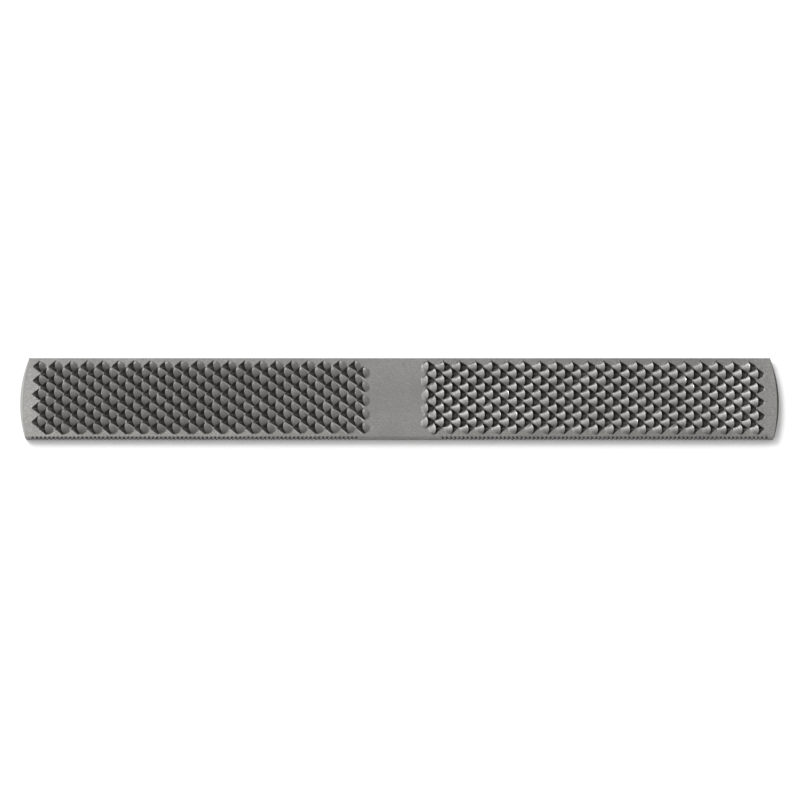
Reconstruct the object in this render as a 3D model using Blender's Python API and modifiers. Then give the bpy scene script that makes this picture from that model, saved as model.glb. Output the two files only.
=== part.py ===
"""A plain double-ended rasp: one bar of hardened steel, with punched teeth on its upper face.

Every tooth is made as a rasp cutter makes it. A small burr of steel stands up from the face, and
the pit of the pointed punch that raised it lies in front of it. The teeth of both halves point
away from the bare middle, where the bar is held. The -Y edge is notched like a single-cut file, and
the +Y edge is plain.

Units are metres. +X runs along the bar and +Z is up, out of the toothed face. The origin is under
the middle of the bar, on the plane that its back rests on.
"""

import math

import bmesh
import bpy
from mathutils import Matrix, Vector

MM = 0.001

# The bar
LENGTH = 355.6 * MM
WIDTH = 38.1 * MM
THICKNESS = 6.0 * MM
END_RADIUS = 60.0 * MM      # plan radius of both ends
END_SKEW = -1.6 * MM        # how far the ends' curves are centred off the bar's middle line
END_ARC_STEPS = 12
END_ARRIS = 1.1 * MM        # how far the rounded ends are broken
ARRIS_STEPS = 1

# One tooth. Distances run along the bar from the middle of its cutting edge
TOE_REACH = 2.9 * MM        # forward, to the point of the pit
CORNER_SETBACK = 0.55 * MM  # backward, to the two corners of the pit
CORNER_SPREAD = 2.6 * MM    # half the width of the pit
PIT_DEPTH = 1.3 * MM
PIT_HEEL = 0.3 * MM         # forward, to the deepest point of the pit
BURR_HEIGHT = 1.3 * MM
BURR_LENGTH = 4.2 * MM      # backward, to the tail of the burr
BURR_SPREAD = 2.4 * MM      # half the width of the burr at the face
BURR_SIDES = 6              # half of them stand above the face
BURR_SINK = 0.2 * MM        # how deep the burr's axis lies in the bar
TRIM = 0.35 * MM            # what the punch takes off the front of the burr
CLEAR_OVER = 0.3 * MM       # how far the punch stands over the burr

# The rows of teeth
ROWS = 10
TEETH_PER_ROW = 21
SCATTER_ALONG = 0.08 * MM   # the cutter is set down by eye
SCATTER_ACROSS = 0.07 * MM
SCATTER_TURN = 1.5          # degrees
# For each half: the way its teeth face, the cutting edge nearest the end in the row nearest +Y,
# the pitch along the row, the step between rows, the row nearest +Y and the lean from row to row
HALVES = (
    {"facing": -1, "first": 169.0 * MM, "pitch": 7.43 * MM, "row_step": 3.32 * MM,
     "top_row": 15.6 * MM, "lean": -0.068 * MM, "outer_rows": 0},
    {"facing": 1, "first": 168.8 * MM, "pitch": 7.54 * MM, "row_step": 3.38 * MM,
     "top_row": 15.2 * MM, "lean": 0.013 * MM, "outer_rows": 1},
)

# The notched edge
NOTCH_PITCH = 1.94 * MM
NOTCH_DEPTH = 0.5 * MM
NOTCH_LEAN = 0.35           # where the root lies between one crest and the next
NOTCHED_FROM = 20.5 * MM    # the plain stretch ends here, on both sides of the middle
CORNER_CLEAR = 1.2 * MM     # plain metal beside each corner of the bar

STEEL_COLOUR = (0.30, 0.29, 0.275, 1.0)


def clear_scene():
    for obj in list(bpy.data.objects):
        bpy.data.objects.remove(obj, do_unlink=True)


def new_collection(name):
    collection = bpy.data.collections.new(name)
    bpy.context.scene.collection.children.link(collection)
    return collection


def steel():
    material = bpy.data.materials.new("hardened_steel")
    material.use_nodes = True
    shader = material.node_tree.nodes["Principled BSDF"]
    shader.inputs["Base Color"].default_value = STEEL_COLOUR
    shader.inputs["Metallic"].default_value = 1.0
    shader.inputs["Roughness"].default_value = 0.42
    return material


def scatter(half, row, tooth, salt):
    """A number from -1 to 1 that is always the same for one tooth."""
    wave = math.sin(12.9898 * (tooth + 1) + 78.233 * (row + 1) + 37.719 * salt + 5.31 * half)
    return 2.0 * ((wave * 43758.5453) % 1.0) - 1.0


def end_arc():
    """The +X end from its -Y corner to its +Y corner."""
    for step in range(END_ARC_STEPS + 1):
        y = WIDTH * (step / END_ARC_STEPS - 0.5)
        bulge = math.sqrt(END_RADIUS ** 2 - (y - END_SKEW) ** 2)
        yield LENGTH / 2 - END_RADIUS + bulge, y


def notched_edge():
    """The -Y edge from its -X corner to its +X corner, without the corners."""
    corner_x = next(end_arc())[0]
    notches = int((corner_x - CORNER_CLEAR - NOTCHED_FROM) / NOTCH_PITCH)
    half = [(NOTCHED_FROM, -WIDTH / 2)]
    for number in range(1, notches + 1):
        crest = NOTCHED_FROM + NOTCH_PITCH * number
        half.append((crest - NOTCH_PITCH * NOTCH_LEAN, NOTCH_DEPTH - WIDTH / 2))
        half.append((crest, -WIDTH / 2))
    return [(-x, y) for x, y in reversed(half)] + half


def bar_outline():
    """The plan of the bar, anticlockwise: both ends are arcs and the -Y edge is notched."""
    right_end = list(end_arc())
    left_end = [(-x, y) for x, y in reversed(right_end)]
    return right_end + left_end + notched_edge()


def mesh_of_curve(curve_obj, collection):
    """A mesh object from a filled curve: its caps are welded on and each is one face."""
    bpy.context.view_layer.update()
    graph = bpy.context.evaluated_depsgraph_get()
    mesh = bpy.data.meshes.new_from_object(curve_obj.evaluated_get(graph))
    bm = bmesh.new()
    bm.from_mesh(mesh)
    bmesh.ops.remove_doubles(bm, verts=bm.verts, dist=0.001 * MM)
    bmesh.ops.dissolve_limit(bm, angle_limit=math.radians(1), verts=bm.verts, edges=bm.edges)
    bm.to_mesh(mesh)
    bm.free()
    obj = bpy.data.objects.new(curve_obj.name + "_mesh", mesh)
    obj.matrix_world = curve_obj.matrix_world.copy()
    collection.objects.link(obj)
    bpy.data.objects.remove(curve_obj, do_unlink=True)
    return obj


def make_bar(collection):
    curve = bpy.data.curves.new("bar_outline", "CURVE")
    curve.dimensions = "2D"
    curve.fill_mode = "BOTH"
    curve.extrude = THICKNESS / 2
    points = bar_outline()
    spline = curve.splines.new("POLY")
    spline.points.add(len(points) - 1)
    for point, (x, y) in zip(spline.points, points):
        point.co = (x, y, 0.0, 1.0)
    spline.use_cyclic_u = True
    outline = bpy.data.objects.new("bar_outline", curve)
    outline.location.z = THICKNESS / 2
    collection.objects.link(outline)
    bar = mesh_of_curve(outline, collection)
    bar.name = "rasp_bar"
    break_end_edges(bar)
    return bar


def break_end_edges(bar):
    """A Bevel on the four curved edges of the ends, picked out by their bevel weight."""
    weights = bar.data.attributes.new("bevel_weight_edge", "FLOAT", "EDGE")
    for edge in bar.data.edges:
        a, b = (bar.data.vertices[v].co for v in edge.vertices)
        level = abs(a.z - b.z) < 0.01 * MM
        on_end = min(abs(a.y), abs(b.y)) < WIDTH / 2 - 2 * NOTCH_DEPTH
        weights.data[edge.index].value = 1.0 if level and on_end else 0.0
    bevel = bar.modifiers.new("ends_broken", "BEVEL")
    bevel.limit_method = "WEIGHT"
    bevel.width = END_ARRIS
    bevel.segments = ARRIS_STEPS


def punch_mesh():
    """The punch, its point down: an arrowhead in plan, drawn to a point below the face."""
    bm = bmesh.new()
    bmesh.ops.create_cone(bm, cap_ends=True, segments=4, radius1=0.0, radius2=1.0, depth=PIT_DEPTH)
    bmesh.ops.remove_doubles(bm, verts=bm.verts, dist=0.001 * MM)
    for vert in bm.verts:
        if vert.co.z < 0:
            vert.co = Vector((PIT_HEEL, 0.0, -PIT_DEPTH))
        elif vert.co.x > 0.5:
            vert.co = Vector((TOE_REACH, 0.0, 0.0))
        elif vert.co.x < -0.5:
            vert.co = Vector((0.0, 0.0, 0.0))
        else:
            side = math.copysign(1.0, vert.co.y)
            vert.co = Vector((-CORNER_SETBACK, side * CORNER_SPREAD, 0.0))
    cap = [face for face in bm.faces if all(abs(v.co.z) < 1e-9 for v in face.verts)]
    raised = bmesh.ops.extrude_face_region(bm, geom=cap)["geom"]
    bmesh.ops.delete(bm, geom=cap, context="FACES_ONLY")
    lift = Vector((0.0, 0.0, BURR_HEIGHT + CLEAR_OVER))
    bmesh.ops.translate(bm, vec=lift, verts=[g for g in raised if isinstance(g, bmesh.types.BMVert)])
    bmesh.ops.triangulate(bm, faces=[f for f in bm.faces if len(f.verts) > 3])
    bmesh.ops.recalc_face_normals(bm, faces=bm.faces)
    mesh = bpy.data.meshes.new("punch")
    bm.to_mesh(mesh)
    bm.free()
    return mesh


def burr_mesh():
    """The burr: a cone on its side, with its base at the cutting edge and its point at the tail."""
    bm = bmesh.new()
    depth = BURR_LENGTH + TRIM
    height = BURR_HEIGHT + BURR_SINK
    spread = BURR_SPREAD / math.sqrt(1 - (BURR_SINK / height) ** 2)
    lay_down = Matrix.Rotation(math.radians(-90), 4, "Y")
    bmesh.ops.create_cone(bm, cap_ends=True, segments=BURR_SIDES, radius1=1.0, radius2=0.0,
                          depth=depth, matrix=lay_down)
    bmesh.ops.remove_doubles(bm, verts=bm.verts, dist=0.001 * MM)
    bmesh.ops.scale(bm, vec=Vector((1.0, spread, height)), verts=bm.verts)
    middle = Vector((TRIM - depth / 2, 0.0, -BURR_SINK))
    bmesh.ops.translate(bm, vec=middle, verts=bm.verts)
    for vert in bm.verts:
        if vert.co.x > 0:
            # the base follows the two slanting front faces of the punch
            vert.co.x -= CORNER_SETBACK * abs(vert.co.y) / CORNER_SPREAD
    bmesh.ops.triangulate(bm, faces=[f for f in bm.faces if len(f.verts) > 3])
    bmesh.ops.recalc_face_normals(bm, faces=bm.faces)
    mesh = bpy.data.meshes.new("burr")
    bm.to_mesh(mesh)
    bm.free()
    return mesh


def tooth_placements():
    """Where each tooth's cutting edge stands, and which way it faces."""
    for half, spec in enumerate(HALVES):
        for row in range(ROWS):
            set_in = spec["pitch"] / 2 if row % 2 != spec["outer_rows"] else 0.0
            for tooth in range(TEETH_PER_ROW):
                x = spec["first"] - set_in - spec["pitch"] * tooth
                x = spec["facing"] * x + spec["lean"] * row
                x += SCATTER_ALONG * scatter(half, row, tooth, 1)
                y = spec["top_row"] - spec["row_step"] * row
                y += SCATTER_ACROSS * scatter(half, row, tooth, 2)
                turn = math.radians(SCATTER_TURN * scatter(half, row, tooth, 3))
                turn += 0.0 if spec["facing"] > 0 else math.pi
                yield Matrix.Translation((x, y, THICKNESS)) @ Matrix.Rotation(turn, 4, "Z")


def copies_as_one(name, mesh, placements, collection):
    """One object that holds a copy of the mesh at every placement, for a Boolean to use."""
    bm = bmesh.new()
    for placement in placements:
        before = len(bm.verts)
        bm.from_mesh(mesh)
        bm.verts.ensure_lookup_table()
        bmesh.ops.transform(bm, matrix=placement, verts=bm.verts[before:])
    joined = bpy.data.meshes.new(name)
    bm.to_mesh(joined)
    bm.free()
    obj = bpy.data.objects.new(name, joined)
    obj.hide_render = True
    obj.display_type = "WIRE"
    collection.objects.link(obj)
    return obj


def add_boolean(obj, name, operation, other):
    modifier = obj.modifiers.new(name, "BOOLEAN")
    modifier.operation = operation
    modifier.object = other
    modifier.solver = "MANIFOLD"


def main():
    clear_scene()
    part = new_collection("double_ended_rasp")
    cutters = new_collection("cutters")
    placements = list(tooth_placements())
    bar = make_bar(part)
    burrs = copies_as_one("burrs", burr_mesh(), placements, cutters)
    punches = copies_as_one("punches", punch_mesh(), placements, cutters)
    add_boolean(bar, "burrs_raised", "UNION", burrs)
    add_boolean(bar, "pits_punched", "DIFFERENCE", punches)
    bar.data.materials.append(steel())


main()
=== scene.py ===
"""The looks of the double-ended rasp: its teeth, file cut, notched edge and steel, on a white floor."""

import math
import random

import bmesh
import bpy
import numpy as np
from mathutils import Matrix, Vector

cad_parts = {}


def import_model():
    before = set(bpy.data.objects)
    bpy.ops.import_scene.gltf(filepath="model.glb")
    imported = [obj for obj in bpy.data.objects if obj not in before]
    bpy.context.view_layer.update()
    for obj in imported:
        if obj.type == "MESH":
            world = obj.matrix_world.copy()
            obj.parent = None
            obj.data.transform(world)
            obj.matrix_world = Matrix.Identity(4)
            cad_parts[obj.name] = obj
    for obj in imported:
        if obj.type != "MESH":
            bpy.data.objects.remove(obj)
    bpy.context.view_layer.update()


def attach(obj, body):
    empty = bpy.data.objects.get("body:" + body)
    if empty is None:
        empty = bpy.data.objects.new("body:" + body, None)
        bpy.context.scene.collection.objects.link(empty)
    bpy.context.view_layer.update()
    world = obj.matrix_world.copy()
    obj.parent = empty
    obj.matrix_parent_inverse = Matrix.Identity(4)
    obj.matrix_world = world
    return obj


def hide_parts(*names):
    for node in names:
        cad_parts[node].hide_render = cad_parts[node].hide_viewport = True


# All sizes below are in millimetres, and the finished mesh is scaled to metres
MM = 0.001

# The bar
LENGTH = 355.6
WIDTH = 38.1
THICK = 6.0
END_RADIUS = 60.0
END_SKEW = -1.6         # the ends were ground a little off square
CORNER = 0.5            # rounding of the four corners, in plan
END_STEPS = 36
# Rings from the face down to the back: depth and inset at the ends, then at the long sides
RINGS = (
    (0.00, 1.35, 0.00, 0.20),
    (0.12, 1.12, 0.03, 0.12),
    (0.50, 0.52, 0.09, 0.05),
    (1.10, 0.00, 0.24, 0.00),
    (3.00, 0.00, 3.00, 0.00),
    (5.20, 0.00, 5.76, 0.00),
    (5.85, 0.45, 5.94, 0.07),
    (6.00, 0.95, 6.00, 0.20),
)
CHAMFER_BELOW = 0.1     # the chamfer of an end is between these depths below the face
CHAMFER_ABOVE = 1.5
CHAMFER_SHARE = 0.7     # width of the chamfer at the +X end, for that at the -X end
CHAMFER_TAPER = 0.6     # share of its width that it loses towards the corners

# The notched edge, on the -Y side. The +Y edge is plain
NOTCH_PITCH = 1.94
NOTCH_DEPTH = 0.5
NOTCH_SHAPE = ((0.0, 0.0), (0.10, 1.0), (0.46, 1.0), (0.56, 0.0))   # in pitches and depths
NOTCH_TOP_DEPTH = 0.3   # share of its depth that a notch has at the face
NOTCH_RUN = 0.12        # how far below the face a notch takes to gain its depth once over
NOTCHED_FROM = 19.6
NOTCHED_TO = 174.2
NOTCH_SLANT = 0.10      # how far a notch drifts along the edge per millimetre down
PLAIN_STEPS = 24        # of each half of the plain edge

# Levels of the shading masks of the bar's edges
SIDE_SHADE = 0.3        # painted shade on the plain side
NOTCH_SHADE = 1.3       # painted shade in the notches, and at their upper ends
NOTCH_TOP_SHADE = 0.5
LAND_HIGHLIGHT = 0.42        # painted highlight on the lands between the notches
CHAMFER_SHADE = 0.9     # painted shade on the +X end's chamfer, which faces away from the light. The -X end's chamfer has painted highlight

# The rows of teeth. For each half, the one towards -X first:
# facing        the way its teeth face
# first         x of the middle of the outermost cell
# pitch         from tooth to tooth along a row, and row_step from row to row
# top_row       y of the row nearest +Y
# lean          how far each row stands to +X of the one above it
# set_in        whether the even or the odd rows are set in by half a pitch
# outer_row     size of the backs in the row nearest +Y
# inner_spread  width of the backs next to the grip, and fade, how much lower they stand
# back_highlight  painted highlight on the backs, and inner_highlight, how much more by the grip
# crest  painted highlight on the cutting edges, and tips, how much more at their +Y ends
# pit_scale_and_shade  dark scale and painted shade in the pits, and stain, how mottled the backs are
# falling       the sides of the cells that run to -Y as they run to +X, and rising, the others:
#               how far they sag and swell, their painted highlight, and their painted shade at their
#               +Y and -Y ends, where 0 and less is none
# upper, lower  how wide a back is on its +Y and -Y sides, and how fast that tapers to its tail
HALVES = (
    {"facing": -1, "first": 168.69, "pitch": 7.412, "row_step": 3.324, "top_row": 15.16,
     "lean": -0.008, "set_in": 1,
     "outer_row": 0.85, "inner_spread": 0.9, "fade": 0.5, "back_highlight": 0.44, "inner_highlight": 0.0,
     "crest": 0.50, "tips": 0.85, "pit_scale_and_shade": 0.68, "stain": 0.10,
     "falling": {"sag": 0.25, "swell": 0.32, "worn": 0.7, "pit": (0.8, -0.8)},
     "rising": {"sag": 0.1, "swell": 0.0, "worn": 0.0, "pit": (0.35, 0.45)},
     "upper": {"spread": 2.6, "taper": 0.3}, "lower": {"spread": 2.85, "taper": 0.35}},
    {"facing": 1, "first": 167.70, "pitch": 7.543, "row_step": 3.345, "top_row": 15.31,
     "lean": -0.026, "set_in": 0,
     "outer_row": 1.0, "inner_spread": 1.2, "fade": 0.0, "back_highlight": 0.30, "inner_highlight": 0.45,
     "crest": 0.28, "tips": 0.0, "pit_scale_and_shade": 1.0, "stain": 0.08,
     "falling": {"sag": 0.55, "swell": 0.0, "worn": 0.35, "pit": (0.0, 0.0)},
     "rising": {"sag": 1.25, "swell": 0.0, "worn": 0.0, "pit": (0.0, 0.0)},
     "upper": {"spread": 2.3, "taper": 1.3}, "lower": {"spread": 3.0, "taper": 0.3}},
)
DROOP = 0.0028          # how far the rows drift to -Y for each millimetre out from ROWS_LEVEL_AT
ROWS_LEVEL_AT = 90.0
ROWS = 10
TEETH_PER_ROW = 21
FIELD_EDGE = 18.38      # the teeth stay this close to the middle line
CELL_STEPS = 12         # must be even

# One tooth
EDGE_AHEAD = 0.42       # the cutting edge stands this far towards the toe from the cell's middle
EDGE_BOW = 0.13         # and curves back towards its corners
EDGE_TURN = -0.19       # and is turned a little, the same way in both halves
RIDGE = 0.07            # the punch leaves a low ridge along the sides of each pit that get painted highlight
BACK_LENGTH = 3.95
INNER_LENGTH = 0.8      # of the backs next to the grip, for those further out
BACK_SHIFT = 0.12       # how far the back's top stands to +Y of the cell's middle
TOOTH_HEIGHT = 1.2
ROUNDNESS = 0.8         # 0.5 is an elliptical back and 1 a parabolic one
PIT_DEPTH = 1.25
FACE_LEAN = 0.22        # the foot of the cutting face stands ahead of its top
EDGE_FROM_TAIL = 0.08   # the cutting edge stays this far from the sides of its cell
EDGE_FROM_TOE = 0.30
SAG_RUN = 0.08          # a side sags in full from this share of its length
PIT_RIM = 0.03          # a pit goes down from here, in half pitches from its end
BACK_RUNS_INTO_PIT = 0.25   # and the back behind it comes down to nothing here
DEEP_SAG = 0.7          # a side that sags more than this is torn open at its +Y end
TEAR_DEPTH = 0.2
BACK_REACH = 5.5        # no back reaches further than this from its cell's middle
FIELD_RUN = 0.5         # the backs go down to the flat steel over this width at +-Y

# How unlike the teeth are, as standard deviations. The first four are added, and the others
# are shares of the value
STRAY_ALONG = 0.09      # the lattice nodes along the bar, and across it
STRAY_ACROSS = 0.06
STRAY_EDGE = 0.10
STRAY_TURN = 0.03
UNLIKE_HEIGHT = 0.05
UNLIKE_SPREAD = 0.025
UNLIKE_LENGTH = 0.03
UNLIKE_DEPTH = 0.06
UNLIKE_SAG = 0.22
LUCK = (0.35, 1.25)     # range of a tooth's own share of the painted highlight
TIP_LUCK = (0.4, 1.2)
SEED = 20

# Shading masks. Steel is as dark as scale and painted shade where the dark mask is full, and
# carries painted highlight where the light mask is full. Above that it gets a painted glint
PIT_SHOWS = 0.25
PIT_FULL = 0.85
HIGHLIGHT_SHOWS = 0.2
HIGHLIGHT_FULL = 1.0
GLINT_SHOWS = 1.1
GLINT_FULL = 1.8
STAIN = 0.2             # pit mask on the backs
TORN = 0.8              # dark mask where a side is torn open: dark scale and painted shade, as in the pits
GLINTS = 0.035          # share of the teeth that get a painted glint
GLINT = 2.0             # light mask on their edges, a painted glint
GLINT_REACH = 0.14      # half width of a glint, for that of the back
TIP_AT = 0.86           # where the painted highlight of the tip is on the crest, from 0 at -Y to 1 at +Y
TIP_REACH = 0.18
TIP_POINTS = 3          # how many points of the back it covers behind the edge

# The file cut on the back
CUT_PITCH = 2.05
CUT_ROW_STEP = 0.66
CUT_DEPTH = 0.36
CUT_FROM = 15.0
CUT_TO = 172.0
CUT_HALF_WIDTH = 17.6
CUT_LEAN = 0.45         # of the pyramids, in half pitches
CUT_GROOVE_DARKENING = 0.6         # dark mask in the grooves, which are darker
CUT_TIP_LIGHTENING = 0.8          # light mask on the tips, which are lighter

# Colours of the steel
GROUND_DARK = (0.165, 0.162, 0.155, 1.0)
GROUND_LIGHT = (0.210, 0.206, 0.198, 1.0)
# painted light on the flat steel towards the ends, and more at the +X end
PAINTED_LIGHT_AT_THE_ENDS = (0.285, 0.280, 0.270, 1.0)
PAINTED_LIGHT_AT_THE_RIGHT_END = (0.300, 0.295, 0.284, 1.0)
MOTTLED = (0.130, 0.128, 0.122, 1.0)
GRAINY = (0.105, 0.103, 0.098, 1.0)
# dark scale and painted shade, the colour where the dark mask is full
DARK_SCALE_AND_SHADE = (0.031, 0.030, 0.028, 1.0)
# painted highlight, the colour where the light mask is full
PAINTED_HIGHLIGHT = (0.45, 0.445, 0.435, 1.0)
# a painted glint
GLINTING = (0.92, 0.91, 0.89, 1.0)

# The room, in metres
FLOOR_HALF = 6.0
SKY_BRIGHTEST = (-0.66, 0.60, 0.45)     # direction
SKY_LOW = 0.20          # strength away from it, and towards it
SKY_HIGH = 1.50
HORIZON_FROM = 0.14     # the white horizon gives way to the sky between these heights
HORIZON_TO = 0.34
KEY_SIZE = 2.1
KEY_WATTS = 114.0
KEY_AT = (-1.82, 1.75, 3.78)
LENS_MM = 180.0
CAMERA_TILT = 13.4      # degrees from straight down
CAMERA_AIM = (0.00022, -0.0012, 0.006)
FRAME_WIDTH = 0.3748    # what the picture takes in at the aim


class MeshParts:
    """Vertices in millimetres with their shading masks, and faces, gathered for one mesh."""

    def __init__(self):
        self.points = []
        self.pit = []
        self.worn = []
        self.faces = []

    def add(self, point, pit=0.0, worn=0.0):
        self.points.append(point)
        self.pit.append(pit)
        self.worn.append(worn)
        return len(self.points) - 1


# ---------------------------------------------------------------- the field of teeth

def node_grid(spec, rng):
    """The lattice nodes, {(row, half step): (x, y)}. A tooth's cell lies between four of them."""
    nodes = {}
    half = spec["pitch"] / 2
    for row in range(-2, ROWS + 2):
        for step in range(-1, 2 * TEETH_PER_ROW + 4):
            x = spec["facing"] * (spec["first"] - half * step) + spec["lean"] * row
            y = spec["top_row"] - spec["row_step"] * row - DROOP * (abs(x) - ROWS_LEVEL_AT)
            x += rng.gauss(0.0, STRAY_ALONG)
            if -1 < row < ROWS:
                y += rng.gauss(0.0, STRAY_ACROSS)
            nodes[row, step] = (x, max(-FIELD_EDGE, min(FIELD_EDGE, y)))
    return nodes


def cells_of(spec, rng):
    """Every cell: its row, the half step of its middle, what it is and how its tooth is cut.

    A ghost is an empty cell at the inner end of a row, and half cells close the field at +-Y.
    """
    def about(value, share):
        return value * (1 + rng.gauss(0.0, share))

    cells = []
    for row in range(-1, ROWS + 1):
        set_in = (row + 1 + spec["set_in"]) % 2
        kind = {-1: "half_down", ROWS: "half_up"}.get(row, "tooth")
        size = spec["outer_row"] if row == 0 else 1.0
        tip = spec["tips"] * (1.0 if row < 2 else 0.5)
        for tooth in range(TEETH_PER_ROW + 1):
            ghost = kind == "tooth" and tooth == TEETH_PER_ROW
            inner = tooth == TEETH_PER_ROW - 1
            fade = spec["fade"] * (tooth / (TEETH_PER_ROW - 1)) ** 4
            by_grip = max(0.0, (tooth - TEETH_PER_ROW + 4) / 4)
            cells.append({
                "row": row,
                "step": 2 * tooth + set_in,
                "kind": "ghost" if ghost else kind,
                "fade": fade,
                # painted highlight on the backs, more by the grip
                "back_highlight": spec["back_highlight"] + spec["inner_highlight"] * by_grip,
                "ahead": EDGE_AHEAD + rng.gauss(0.0, STRAY_EDGE),
                "turn": EDGE_TURN + rng.gauss(0.0, STRAY_TURN),
                "height": about(TOOTH_HEIGHT * (1 - fade), UNLIKE_HEIGHT),
                "spread": about(size * (spec["inner_spread"] if inner else 1.0), UNLIKE_SPREAD),
                "length": about(BACK_LENGTH * size * (INNER_LENGTH if inner else 1.0), UNLIKE_LENGTH),
                "depth": about(PIT_DEPTH, UNLIKE_DEPTH),
                "luck": rng.uniform(*LUCK),
                "glint": rng.random() < GLINTS,
                "tip": tip * rng.uniform(*TIP_LUCK),
            })
    return cells


def corner_names(cell):
    """The nodes at a cell's tail, +Y end, -Y end and toe."""
    row, step = cell["row"], cell["step"]
    return (row, step + 1), (row - 1, step), (row + 1, step), (row, step - 1)


def cell_frame(corners):
    """The middle of a cell, the way its tooth faces and the way across."""
    tail, _, _, toe = corners
    middle = (tail + toe) / 2
    ahead = (toe - tail) / np.linalg.norm(toe - tail)
    return middle, ahead, np.array((-ahead[1], ahead[0]))


def edge_line(cell, across):
    """How far ahead of the cell's middle the cutting edge runs."""
    return cell["ahead"] + cell["turn"] * across - EDGE_BOW * across ** 2


def side_sag(spec, sags, upper, lower, u, rng):
    """How far a cell's side hangs to -Y, at the fraction u of its way from its +Y end."""
    if lower[0] >= ROWS:
        return np.zeros_like(u)
    falls = (lower[1] - upper[1]) * spec["facing"] < 0
    if (upper, lower) not in sags:
        sags[upper, lower] = max(0.3, 1 + rng.gauss(0.0, UNLIKE_SAG))
    shape = spec["falling" if falls else "rising"]
    sag = shape["sag"] * sags[upper, lower] * (1 - u) * np.minimum(1, u / SAG_RUN)
    return sag - shape["swell"] * np.sin(math.pi * u ** 2)


def cell_points(spec, cell, corners, sags, rng):
    """The cell's grid of points, with the middle line of the grid drawn to the cutting edge.

    Also gives how far each point is, along the cell, from the end of its pit.
    """
    n = CELL_STEPS
    i, j = np.meshgrid(np.arange(n + 1), np.arange(n + 1), indexing="ij")
    s, t = i / n, j / n
    tail, up, down, toe = corners
    if cell["kind"] == "half_down":
        up = tail + toe - down
    if cell["kind"] == "half_up":
        down = tail + toe - up
    grid = (tail * ((1 - s) * (1 - t))[..., None] + up * (s * (1 - t))[..., None]
            + down * ((1 - s) * t)[..., None] + toe * (s * t)[..., None])
    at_tail, at_up, at_down, at_toe = corner_names(cell)
    hang = np.zeros_like(s)
    if cell["kind"] != "half_down":
        hang += (1 - t) * side_sag(spec, sags, at_up, at_tail, 1 - s, rng)
        hang += s * side_sag(spec, sags, at_up, at_toe, t, rng)
    if cell["kind"] != "half_up":
        hang += (1 - s) * side_sag(spec, sags, at_tail, at_down, t, rng)
        hang += t * side_sag(spec, sags, at_toe, at_down, 1 - s, rng)
    grid[..., 1] -= hang
    if cell["kind"] != "tooth":
        return grid, np.zeros_like(s)
    middle, ahead, side = cell_frame(corners)
    m = i - j
    start = grid[np.maximum(m, 0), np.maximum(-m, 0)]
    end = grid[np.where(m >= 0, n, n + m), np.where(m >= 0, n - m, n)]
    x0, x1 = (start - middle) @ ahead, (end - middle) @ ahead
    y0, y1 = (start - middle) @ side, (end - middle) @ side
    span = np.maximum(x1 - x0, 1e-6)
    edge = 0.5 * (x0 + x1)
    for _ in range(8):
        edge = edge_line(cell, y0 + (y1 - y0) * (edge - x0) / span)
        edge = np.clip(edge, x0 + np.minimum(EDGE_FROM_TAIL, 0.3 * span),
                       np.maximum(x1 - EDGE_FROM_TOE, x0 + 0.5 * span))
    k = i + j
    room = np.maximum(n - abs(m), 1)
    behind = (k - abs(m)) / room
    before = np.clip((k - n - 1) / np.maximum(room - 1, 1), 0, 1)
    foot = edge + np.minimum(FACE_LEAN, 0.5 * (x1 - edge))
    target = np.where(k <= n, x0 + (edge - x0) * behind, foot + (x1 - foot) * before)
    along = np.where(x1 - x0 > 1e-6, (target - x0) / span, 0.0)
    moved = start + (end - start) * along[..., None]
    inner = (i > 0) & (j > 0) & (i < n) & (j < n)
    return np.where(inner[..., None], moved, grid), np.maximum(x1 - target, 0.0)


def back_offset(spec, cell, across, left):
    """How far out on a tooth's back a point is: 0 on its crest, and -1 or 1 where the back ends."""
    off = across - spec["facing"] * BACK_SHIFT
    parts = [cell["spread"] * spec[name]["spread"] * np.maximum(left, 1e-6) ** spec[name]["taper"]
             for name in ("upper", "lower")]
    return off / np.where(off * spec["facing"] > 0, *parts)


def back_height(xy, spec, cells, nodes):
    """The height of the highest tooth back over each point. A back starts at its cutting edge."""
    height = np.zeros(len(xy))
    for cell in cells:
        if cell["kind"] != "tooth":
            continue
        corners = [np.array(nodes[name]) for name in corner_names(cell)]
        middle, ahead, side = cell_frame(corners)
        near = np.nonzero(np.abs(xy - middle).max(axis=1) < BACK_REACH)[0]
        rel = xy[near] - middle
        along, across = rel @ ahead, rel @ side
        behind = (edge_line(cell, across) - along) / cell["length"]
        left = np.clip(1 - behind, 0, 1)
        off = back_offset(spec, cell, across, left)
        rise = cell["height"] * left * np.clip(1 - off ** 2, 0, 1) ** ROUNDNESS
        rise[behind < -1e-4] = 0.0
        height[near] = np.maximum(height[near], rise)
    room = np.clip((FIELD_EDGE + 0.05 - np.abs(xy[:, 1])) / FIELD_RUN, 0, 1)
    return height * room * room * (3 - 2 * room)


def keep_half(kind, i, j):
    """Whether a point of the grid is in the cell, of which half is left at the edges of the field."""
    return kind not in ("half_up", "half_down") or (i >= j if kind == "half_up" else i <= j)


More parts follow.
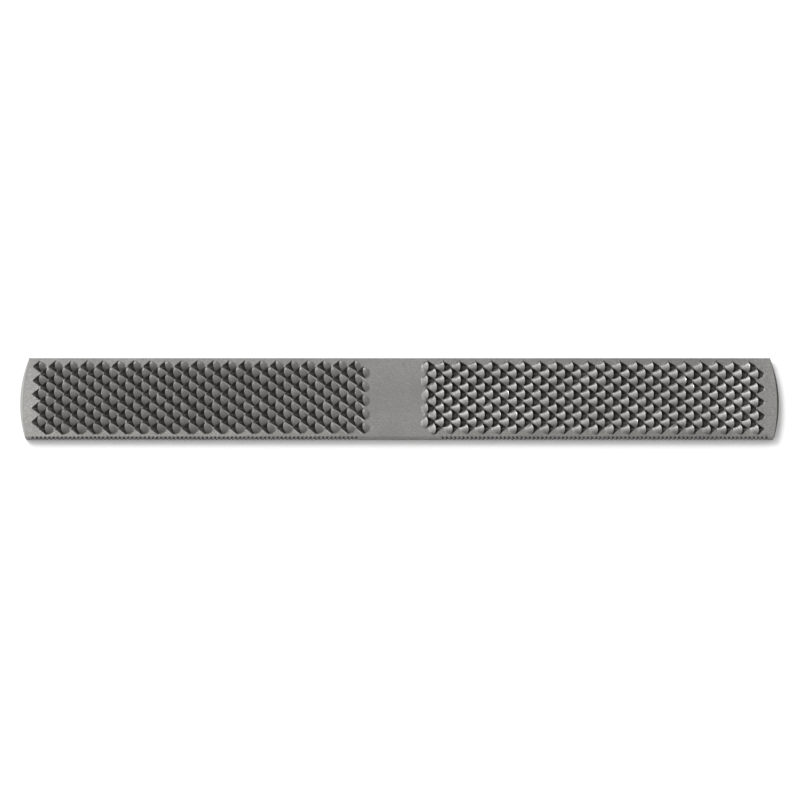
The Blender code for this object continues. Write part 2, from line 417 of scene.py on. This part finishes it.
def add_field(parts, spec, rng):
    """Adds the field of teeth of one half to the mesh, on the level of the face."""
    n = CELL_STEPS
    nodes = node_grid(spec, rng)
    cells = cells_of(spec, rng)
    index = {}
    first, first_face = len(parts.points), len(parts.faces)
    details = []
    pit_sides = set()
    sags = {}
    for number, cell in enumerate(cells):
        names = corner_names(cell)
        corners = [np.array(nodes[name]) for name in names]
        grid, rooms = cell_points(spec, cell, corners, sags, rng)
        _, up, down, toe = names
        if cell["kind"] == "tooth":
            pit_sides |= {frozenset((up, toe)), frozenset((down, toe))}
        for i in range(n + 1):
            for j in range(n + 1):
                if not keep_half(cell["kind"], i, j):
                    continue
                key = point_key(number, names, i, j)
                if key not in index:
                    x, y = grid[i, j]
                    index[key] = parts.add((x, y, 0.0))
                    details.append((number, i, j, key, rooms[i, j]))
        add_cell_faces(parts, index, number, names, cell["kind"])
    set_heights(parts, first, spec, cells, nodes, details, pit_sides, rng)
    for number in {number for edge in open_edges(parts.faces[first_face:]) for number in edge}:
        x, y, _ = parts.points[number]
        parts.points[number] = (x, y, THICK)
        parts.pit[number] = parts.worn[number] = 0.0


def point_key(number, names, i, j):
    """One name for a point of a cell's grid, the same in both cells that share it."""
    n = CELL_STEPS
    tail, up, down, toe = names
    if i in (0, n) and j in (0, n):
        return "node", {(0, 0): tail, (n, 0): up, (0, n): down, (n, n): toe}[i, j]
    if i == 0:
        return side_key(tail, down, j)
    if j == 0:
        return side_key(tail, up, i)
    if i == n:
        return side_key(up, toe, j)
    if j == n:
        return side_key(down, toe, i)
    return "in", number, i, j


def side_shape(spec, key):
    """The sort of side that a point is on, and the fraction of the side above it."""
    (row_a, step_a), (row_b, step_b) = key[1], key[2]
    falls = (row_b - row_a) * (step_b - step_a) * spec["facing"] < 0
    u = key[3] / CELL_STEPS
    return spec["falling" if falls else "rising"], u if row_a < row_b else 1 - u


def side_key(a, b, step):
    """The name of the point that is so many steps along the side from node a to node b."""
    return ("side", a, b, step) if a < b else ("side", b, a, CELL_STEPS - step)


def add_cell_faces(parts, index, number, names, kind):
    """Two triangles for each square of the grid, split along the lines that run across the cell."""
    n = CELL_STEPS
    for i in range(n):
        for j in range(n):
            low = ((i, j), (i + 1, j), (i, j + 1))
            high = ((i + 1, j), (i + 1, j + 1), (i, j + 1))
            for triangle in (low, high):
                if all(keep_half(kind, a, b) for a, b in triangle):
                    ids = [index[point_key(number, names, a, b)] for a, b in triangle]
                    parts.faces.append(ids)


def set_heights(parts, first, spec, cells, nodes, details, pit_sides, rng):
    """Lifts the backs, sinks the pits and fills in the masks of the field's points."""
    n = CELL_STEPS
    xy = np.array(parts.points[first:])[:, :2]
    height = back_height(xy, spec, cells, nodes)
    for offset, (number, i, j, key, room) in enumerate(details):
        x, y = xy[offset]
        z, pit, worn = height[offset], 0.0, 0.0
        cell = cells[number]
        if key[0] == "side" and frozenset(key[1:3]) in pit_sides:
            shape, u = side_shape(spec, key)
            # painted highlight along the side, and painted shade towards its ends
            worn = shape["worn"] * min(1.0, 0.4 + u) * (cell["luck"] + cell["fade"])
            pit = max(0.0, shape["pit"][0] * (1 - u) + shape["pit"][1] * u)
            z += RIDGE * shape["worn"] * math.sin(math.pi * u)
            # where a side sags far, its +Y end is torn open, low, with dark scale and painted shade
            if u < 1.5 / n and shape["sag"] > DEEP_SAG:
                z, pit, worn = z - TEAR_DEPTH, TORN, 0.0
        if key[0] == "in" and cell["kind"] == "tooth":
            stain = STAIN + spec["stain"] * rng.uniform(0.0, 2.0)
            z, pit, worn = inner_height(spec, cell, nodes, xy[offset], i + j - n, room, z, stain)
        parts.points[first + offset] = (x, y, THICK + z)
        parts.worn[first + offset] = worn
        parts.pit[first + offset] = pit


def inner_height(spec, cell, nodes, point, ahead_of_edge, room, z, stain):
    """Height and masks inside a tooth's cell, given the height of the backs that reach there."""
    if ahead_of_edge <= 0:
        middle, ahead, side = cell_frame([np.array(nodes[name]) for name in corner_names(cell)])
        along, across = (point - middle) @ ahead, (point - middle) @ side
        left = min(1.0, max(0.0, 1 - (edge_line(cell, across) - along) / cell["length"]))
        off = float(back_offset(spec, cell, across, left))
        rise = max(0.0, 1 - off ** 2)
        toward_top = 0.5 + 0.5 * max(-1.0, min(1.0, spec["facing"] * off))
        # painted highlight on the back, stronger towards its +Y side and its edge
        back_highlight = cell["back_highlight"] * rise ** 0.5 * toward_top * left * (0.6 + 0.5 * cell["luck"])
        # a painted highlight at the +Y tip of the cutting edge
        near_tip = max(0.0, 1 - abs(toward_top - TIP_AT) / TIP_REACH)
        tip = cell["tip"] * near_tip if ahead_of_edge > -TIP_POINTS else 0.0
        if ahead_of_edge < 0:
            return z, stain * (1 - min(1.0, tip)), HIGHLIGHT_SHOWS + back_highlight + tip
        # painted highlight along the crest
        worn = rise ** 0.25 * (spec["crest"] + 0.5 * toward_top ** 2 * cell["luck"]) + tip
        worn = max(worn, HIGHLIGHT_SHOWS + back_highlight)
        # a painted glint on a few crests
        if cell["glint"] and abs(off) < GLINT_REACH:
            worn = GLINT
        return max(z, cell["height"] * rise ** ROUNDNESS), 0.0, worn
    room /= spec["pitch"] / 2
    full = 1 - (cell["ahead"] + FACE_LEAN) / (spec["pitch"] / 2)
    sunk = cell["depth"] * max(0.0, room - PIT_RIM) / full
    # the pit: sunk, with dark scale and painted shade
    return z * max(0.0, 1 - room / BACK_RUNS_INTO_PIT) - sunk, spec["pit_scale_and_shade"], 0.0


# ---------------------------------------------------------------- the bar itself

def notch_profile():
    """(x, depth) along a long edge from one end of the bar to the other."""
    half = []
    count = int((NOTCHED_TO - NOTCHED_FROM) / NOTCH_PITCH)
    for number in range(count):
        x = NOTCHED_FROM + NOTCH_PITCH * number
        half += [(x + part * NOTCH_PITCH, depth) for part, depth in NOTCH_SHAPE]
    return [(-x, depth) for x, depth in reversed(half)] + half


def ring(parts, level):
    """One closed ring of points round the bar. All rings have as many points.

    Each stretch of it is a list of (place, weight, dark mask, light mask), where the weight is 1
    where the depth is that of the ends and 0 where it is that of the long sides.
    """
    end_drop, end_inset, side_drop, side_inset = level
    on_side = CHAMFER_BELOW < side_drop < THICK - CHAMFER_BELOW
    on_chamfer = CHAMFER_BELOW < end_drop < CHAMFER_ABOVE
    share = CHAMFER_SHARE if end_drop < CHAMFER_ABOVE else 1.0
    # painted shade on the plain side
    side_shade = SIDE_SHADE if on_side else 0.0
    side_y = WIDTH / 2 - side_inset
    flat_y = side_y - CORNER

    def end_x(y, share=1.0):
        centre = LENGTH / 2 - END_RADIUS
        bulge = math.sqrt(END_RADIUS ** 2 - (y - END_SKEW) ** 2)
        return centre + bulge - share * end_inset * (1 - CHAMFER_TAPER * (y / side_y) ** 2)

    def corner(sign, share=1.0):
        """From the end round the corner to the long side, for the +X end."""
        a = Vector((end_x(sign * flat_y, share), sign * flat_y))
        k = Vector((end_x(sign * side_y, share), sign * side_y))
        b = Vector((k.x - CORNER, k.y))
        steps = [s / 4 for s in range(1, 5)]
        return [(a * (1 - s) ** 2 + k * 2 * s * (1 - s) + b * s ** 2, 1 - s, 0.0, 0.0) for s in steps]

    def mirrored(points):
        """The same at the -X end, where the chamfer gets painted highlight."""
        return [(Vector((-p.x, p.y)), w, pit, w if on_chamfer else 0.0) for p, w, pit, _ in points]

    def notched_side():
        drift = NOTCH_SLANT * side_drop
        cut = NOTCH_DEPTH * min(1.0, NOTCH_TOP_DEPTH + side_drop / NOTCH_RUN)
        # painted shade in the notches, painted highlight on the lands between them
        notch_shade = NOTCH_SHADE if side_drop else NOTCH_TOP_SHADE
        land_highlight = LAND_HIGHLIGHT if on_side else 0.0
        return [(Vector((x + math.copysign(drift, x), cut * depth - side_y)), 0.0,
                 notch_shade * depth, land_highlight * (1 - depth)) for x, depth in notch_profile()]

    def plain_side():
        places = [NOTCHED_TO * step / PLAIN_STEPS for step in range(-PLAIN_STEPS, PLAIN_STEPS + 1)]
        return [(Vector((x, side_y)), 0.0, side_shade, 0.0) for x in places]

    arc = [flat_y - 2 * flat_y * s / END_STEPS for s in range(END_STEPS + 1)]
    # painted shade on the +X end's chamfer
    end_shade = CHAMFER_SHADE if on_chamfer else 0.0
    right = [(Vector((end_x(y, share), y)), 1.0, end_shade, 0.0) for y in reversed(arc)]
    # painted highlight on the -X end's chamfer
    left = [(Vector((-end_x(y), y)), 1.0, 0.0, 1.0 if on_chamfer else 0.0) for y in arc]
    around = right + corner(1, share) + plain_side()[::-1] + mirrored(corner(1))[::-1] + left
    around += mirrored(corner(-1)) + notched_side() + corner(-1, share)[::-1]
    ids = []
    for p, w, pit, worn in around:
        drop = w * end_drop + (1 - w) * side_drop
        ids.append(parts.add((p.x, p.y, THICK - drop), pit, worn))
    return ids


def add_walls(parts, rings):
    """The sides of the bar, from each ring to the one below it."""
    for upper, lower in zip(rings, rings[1:]):
        for a in range(len(upper)):
            b = (a + 1) % len(upper)
            parts.faces.append([upper[a], lower[a], lower[b], upper[b]])


def open_edges(faces):
    """Edges with one face only."""
    seen = {}
    for face in faces:
        for a, b in zip(face, face[1:] + face[:1]):
            key = (min(a, b), max(a, b))
            seen[key] = seen.get(key, 0) + 1
    return [key for key, count in seen.items() if count == 1]


def fill_flat(parts, edges, up):
    """Fills the flat steel between the rim of the bar and the cut zones."""
    bm = bmesh.new()
    made = {}
    for edge in edges:
        for index in edge:
            if index not in made:
                x, y, _ = parts.points[index]
                made[index] = bm.verts.new((x, y, 0.0))
        bm.edges.new([made[index] for index in edge])
    names = {vert: index for index, vert in made.items()}
    bmesh.ops.triangle_fill(bm, use_beauty=True, use_dissolve=False, edges=bm.edges[:],
                            normal=(0.0, 0.0, 1.0))
    for face in bm.faces:
        ids = [names[vert] for vert in face.verts]
        if (face.normal.z > 0) != up:
            ids.reverse()
        parts.faces.append(ids)
    bm.free()


def add_file_cut(parts, facing):
    """A double cut on the back: rows of small pyramids that lean towards the bar's end."""
    index = {}
    columns = int((CUT_TO - CUT_FROM) / (CUT_PITCH / 2))
    rows = int(2 * CUT_HALF_WIDTH / CUT_ROW_STEP)
    top = rows * CUT_ROW_STEP / 2

    def node(row, column):
        if (row, column) not in index:
            x = facing * (CUT_FROM + column * CUT_PITCH / 2)
            index[row, column] = parts.add((x, top - row * CUT_ROW_STEP, 0.0), CUT_GROOVE_DARKENING, 0.0)
        return index[row, column]

    faces = []
    for row in range(1, rows):
        for column in range(1 + row % 2, columns - 1, 2):
            ring_ids = [node(row, column - 1), node(row + 1, column), node(row, column + 1),
                        node(row - 1, column)]
            x = facing * (CUT_FROM + (column + CUT_LEAN) * CUT_PITCH / 2)
            tip = parts.add((x, top - row * CUT_ROW_STEP, 0.0), 0.0, CUT_TIP_LIGHTENING)
            for a, b in zip(ring_ids, ring_ids[1:] + ring_ids[:1]):
                faces.append([tip, b, a] if facing > 0 else [tip, a, b])
    rim = {number for edge in open_edges(faces) for number in edge}
    for number in index.values():
        if number not in rim:
            x, y, _ = parts.points[number]
            parts.points[number] = (x, y, CUT_DEPTH)
    parts.faces += faces
    return open_edges(faces)


def build_rasp():
    rng = random.Random(SEED)
    parts = MeshParts()
    for spec in HALVES:
        add_field(parts, spec, rng)
    top_edges = open_edges(parts.faces)
    rings = [ring(parts, level) for level in RINGS]
    closed = [list(zip(ids, ids[1:] + ids[:1])) for ids in (rings[0], rings[-1])]
    fill_flat(parts, top_edges + closed[0], True)
    add_walls(parts, rings)
    cut_edges = add_file_cut(parts, -1) + add_file_cut(parts, 1)
    fill_flat(parts, cut_edges + closed[1], False)
    mesh = bpy.data.meshes.new("rasp")
    mesh.from_pydata([tuple(c * MM for c in p) for p in parts.points], [], parts.faces)
    for name, values in (("pit", parts.pit), ("worn", parts.worn)):
        attribute = mesh.attributes.new(name, "FLOAT", "POINT")
        attribute.data.foreach_set("value", values)
    mesh.validate()
    bm = bmesh.new()
    bm.from_mesh(mesh)
    bmesh.ops.recalc_face_normals(bm, faces=bm.faces)
    bad = sum(1 for edge in bm.edges if len(edge.link_faces) != 2)
    print("rasp mesh:", len(bm.verts), "points,", len(bm.faces), "faces,", bad, "open edges")
    bm.to_mesh(mesh)
    bm.free()
    mesh.shade_smooth()
    mesh.set_sharp_from_angle(angle=math.radians(32))
    for polygon in mesh.polygons:
        if abs(polygon.normal.z) > 0.99999:
            polygon.use_smooth = False
    rasp = bpy.data.objects.new("rasp", mesh)
    bpy.context.scene.collection.objects.link(rasp)
    return rasp


# ---------------------------------------------------------------- the steel

def steel_material():
    material = bpy.data.materials.new("hardened_steel")
    material.use_nodes = True
    nodes = material.node_tree.nodes
    links = material.node_tree.links
    shader = nodes["Principled BSDF"]
    place = nodes.new("ShaderNodeTexCoord")

    def scaled(scale):
        node = nodes.new("ShaderNodeMapping")
        node.inputs["Scale"].default_value = scale
        links.new(place.outputs["Object"], node.inputs["Vector"])
        return node.outputs["Vector"]

    def noise(vector, scale, detail, roughness=0.5):
        node = nodes.new("ShaderNodeTexNoise")
        node.inputs["Scale"].default_value = scale
        node.inputs["Detail"].default_value = detail
        node.inputs["Roughness"].default_value = roughness
        links.new(vector, node.inputs["Vector"])
        return node.outputs["Fac"]

    def ramp(value, low, high, out_low, out_high):
        node = nodes.new("ShaderNodeMapRange")
        node.inputs["From Min"].default_value = low
        node.inputs["From Max"].default_value = high
        node.inputs["To Min"].default_value = out_low
        node.inputs["To Max"].default_value = out_high
        links.new(value, node.inputs["Value"])
        return node.outputs["Result"]

    def mask(name):
        node = nodes.new("ShaderNodeAttribute")
        node.attribute_name = name
        return node.outputs["Fac"]

    def blend(fac, first, second):
        node = nodes.new("ShaderNodeMix")
        node.data_type = "RGBA"
        for value, socket in ((first, node.inputs["A"]), (second, node.inputs["B"])):
            if isinstance(value, tuple):
                socket.default_value = value
            else:
                links.new(value, socket)
        links.new(fac, node.inputs["Factor"])
        return node.outputs["Result"]

    def add(a, b):
        node = nodes.new("ShaderNodeMath")
        links.new(a, node.inputs[0])
        links.new(b, node.inputs[1])
        return node.outputs["Value"]

    cloud = noise(scaled((1.0, 1.0, 1.0)), 55.0, 4.0, 0.6)
    mottle = noise(scaled((1.0, 1.6, 1.6)), 420.0, 3.0, 0.6)
    grain = noise(scaled((1.0, 2.0, 2.0)), 850.0, 3.0, 0.7)
    speck = noise(scaled((1.0, 1.0, 1.0)), 2600.0, 2.0, 0.6)

    toward_end = nodes.new("ShaderNodeMath")
    toward_end.operation = "ABSOLUTE"
    parted = nodes.new("ShaderNodeSeparateXYZ")
    links.new(place.outputs["Object"], parted.inputs["Vector"])
    links.new(parted.outputs["X"], toward_end.inputs[0])

    flat = blend(ramp(cloud, 0.3, 0.7, 0.0, 1.0), GROUND_DARK, GROUND_LIGHT)
    # painted light towards both ends, and more at the +X end, where the key light falls off
    flat = blend(ramp(toward_end.outputs["Value"], 0.158, 0.174, 0.0, 0.32), flat, PAINTED_LIGHT_AT_THE_ENDS)
    flat = blend(ramp(parted.outputs["X"], 0.150, 0.174, 0.0, 0.72), flat, PAINTED_LIGHT_AT_THE_RIGHT_END)
    flat = blend(ramp(mottle, 0.32, 0.68, 0.04, 0.36), flat, MOTTLED)
    flat = blend(ramp(grain, 0.30, 0.70, 0.0, 0.7), flat, GRAINY)
    # the dark mask: dark scale and painted shade in the pits, painted shade at the ends of the cells'
    # sides, in the notches, on the +X chamfer and the plain side, real stains on the backs, darker
    # grooves of the file cut
    pit = blend(ramp(mask("pit"), PIT_SHOWS, PIT_FULL, 0.0, 1.0), flat, DARK_SCALE_AND_SHADE)
    # the light mask: painted highlight on the teeth, the lands and the -X chamfer, lighter tips of the
    # file cut
    bright = blend(ramp(mask("worn"), HIGHLIGHT_SHOWS, HIGHLIGHT_FULL, 0.0, 0.8), pit, PAINTED_HIGHLIGHT)
    # a painted glint, with lower roughness, where the light mask goes past full
    glint = ramp(mask("worn"), GLINT_SHOWS, GLINT_FULL, 0.0, 1.0)
    links.new(blend(glint, bright, GLINTING), shader.inputs["Base Color"])
    links.new(ramp(add(glint, cloud), 0.3, 1.3, 0.46, 0.22), shader.inputs["Roughness"])
    shader.inputs["Metallic"].default_value = 0.85

    bump = nodes.new("ShaderNodeBump")
    bump.inputs["Strength"].default_value = 0.42
    bump.inputs["Distance"].default_value = 0.00012
    links.new(add(grain, speck), bump.inputs["Height"])
    links.new(bump.outputs["Normal"], shader.inputs["Normal"])
    return material


# ---------------------------------------------------------------- floor, light and camera

def floor():
    mesh = bpy.data.meshes.new("floor")
    bm = bmesh.new()
    bmesh.ops.create_grid(bm, x_segments=1, y_segments=1, size=FLOOR_HALF)
    bm.to_mesh(mesh)
    bm.free()
    obj = bpy.data.objects.new("floor", mesh)
    bpy.context.scene.collection.objects.link(obj)
    material = bpy.data.materials.new("white_floor")
    material.use_nodes = True
    shader = material.node_tree.nodes["Principled BSDF"]
    shader.inputs["Base Color"].default_value = (0.97, 0.97, 0.97, 1.0)
    shader.inputs["Roughness"].default_value = 0.9
    shader.inputs["Specular IOR Level"].default_value = 0.1
    mesh.materials.append(material)


def world():
    """A room that is white round the horizon and, overhead, brightest at the upper left."""
    sky = bpy.data.worlds.new("room")
    sky.use_nodes = True
    nodes = sky.node_tree.nodes
    links = sky.node_tree.links
    place = nodes.new("ShaderNodeTexCoord")
    toward = nodes.new("ShaderNodeVectorMath")
    toward.operation = "DOT_PRODUCT"
    toward.inputs[1].default_value = SKY_BRIGHTEST
    links.new(place.outputs["Generated"], toward.inputs[0])
    overhead = nodes.new("ShaderNodeMapRange")
    overhead.inputs["From Min"].default_value = -0.3
    overhead.inputs["From Max"].default_value = 1.0
    overhead.inputs["To Min"].default_value = SKY_LOW
    overhead.inputs["To Max"].default_value = SKY_HIGH
    links.new(toward.outputs["Value"], overhead.inputs["Value"])
    parted = nodes.new("ShaderNodeSeparateXYZ")
    links.new(place.outputs["Generated"], parted.inputs["Vector"])
    rising = nodes.new("ShaderNodeMapRange")
    rising.inputs["From Min"].default_value = HORIZON_FROM
    rising.inputs["From Max"].default_value = HORIZON_TO
    links.new(parted.outputs["Z"], rising.inputs["Value"])
    level = nodes.new("ShaderNodeMix")
    level.inputs["A"].default_value = 1.0
    links.new(rising.outputs["Result"], level.inputs["Factor"])
    links.new(overhead.outputs["Result"], level.inputs["B"])
    nodes["Background"].inputs["Color"].default_value = (1.0, 1.0, 1.0, 1.0)
    links.new(level.outputs["Result"], nodes["Background"].inputs["Strength"])
    bpy.context.scene.world = sky


def key_light():
    light = bpy.data.lights.new("key", "AREA")
    light.shape = "RECTANGLE"
    light.size = KEY_SIZE
    light.size_y = KEY_SIZE
    light.energy = KEY_WATTS
    obj = bpy.data.objects.new("key", light)
    obj.location = KEY_AT
    obj.rotation_euler = (-Vector(obj.location)).to_track_quat("-Z", "Y").to_euler()
    bpy.context.scene.collection.objects.link(obj)


def camera():
    lens = bpy.data.cameras.new("camera")
    lens.lens = LENS_MM
    lens.sensor_width = 36.0
    lens.clip_end = 50.0
    obj = bpy.data.objects.new("camera", lens)
    tilt = math.radians(CAMERA_TILT)
    distance = FRAME_WIDTH / 2 / math.tan(lens.angle / 2)
    obj.location = Vector(CAMERA_AIM) + distance * Vector((0.0, -math.sin(tilt), math.cos(tilt)))
    obj.rotation_euler = (tilt, 0.0, 0.0)
    bpy.context.scene.collection.objects.link(obj)
    bpy.context.scene.camera = obj


def main():
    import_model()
    scene = bpy.context.scene
    scene.view_settings.view_transform = "Standard"
    rasp = build_rasp()
    rasp.data.materials.append(steel_material())
    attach(rasp, "root")
    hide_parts("rasp_bar")
    floor()
    world()
    key_light()
    camera()


main()
